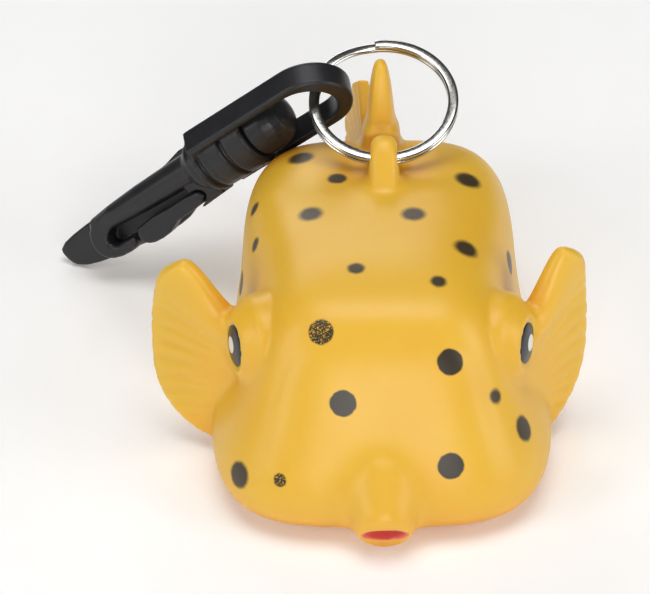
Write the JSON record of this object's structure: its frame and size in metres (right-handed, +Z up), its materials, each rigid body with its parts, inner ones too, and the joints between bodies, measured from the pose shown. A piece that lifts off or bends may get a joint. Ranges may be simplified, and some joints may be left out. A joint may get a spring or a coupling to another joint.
{
  "type": "boxfish bath toy with clip",
  "caption": "Box-shaped soft vinyl fish with turret eyes, ribbed fins and a pursed mouth, on a split ring with a swivel snap clip.",
  "frame": {"origin": "middle of the flat belly, on the surface the toy stands on", "axes": "+Z up; the fish looks along -Y, so its own left side is +X"},
  "size_m": [0.1105, 0.1164, 0.0588],
  "materials": {
    "vinyl": "satin soft vinyl, sprayed yellow with orange hollows and painted spots",
    "ring_steel": "bright nickel plate on spring steel",
    "clip_plastic": "semi-gloss moulded black"
  },
  "bodies": {
    "fish": {"carapace": "vinyl", "snout": "vinyl", "eye_right": "vinyl", "eye_left": "vinyl", "pectoral_fin_right": "vinyl", "pectoral_fin_left": "vinyl", "ring_lug": "vinyl", "dorsal_fin": "vinyl", "tail_stalk": "vinyl", "tail_fin": "vinyl"},
    "ring": {"split_ring": "ring_steel"},
    "strap_eye": {"clip_strap_eye": "clip_plastic"},
    "hook": {"clip_hook": "clip_plastic"},
    "gate": {"clip_gate": "clip_plastic"}
  },
  "joints": [
    {"name": "ring_swing", "type": "hinge", "parent": "fish", "child": "ring", "pos_m": [0.0008, 0.018, 0.0448], "axis": [1, 0, 0], "range_deg": [0, 110]},
    {"name": "eye_swing", "type": "hinge", "parent": "ring", "child": "strap_eye", "pos_m": [-0.0132, 0.03098, 0.05004], "axis": [0, 0.9272, 0.3746], "range_deg": [0, 60]},
    {"name": "swivel", "type": "hinge", "parent": "strap_eye", "child": "hook", "pos_m": [-0.03044, 0.03735, 0.03599], "axis": [-0.7613, 0.1515, -0.6305], "continuous": true},
    {"name": "gate_press", "type": "hinge", "parent": "hook", "child": "gate", "pos_m": [-0.03692, 0.03689, 0.02403], "axis": [0.3753, 0.8958, -0.2379], "range_deg": [0, 4.5], "stiffness_Nm_per_rad": 0.05}
  ]
}
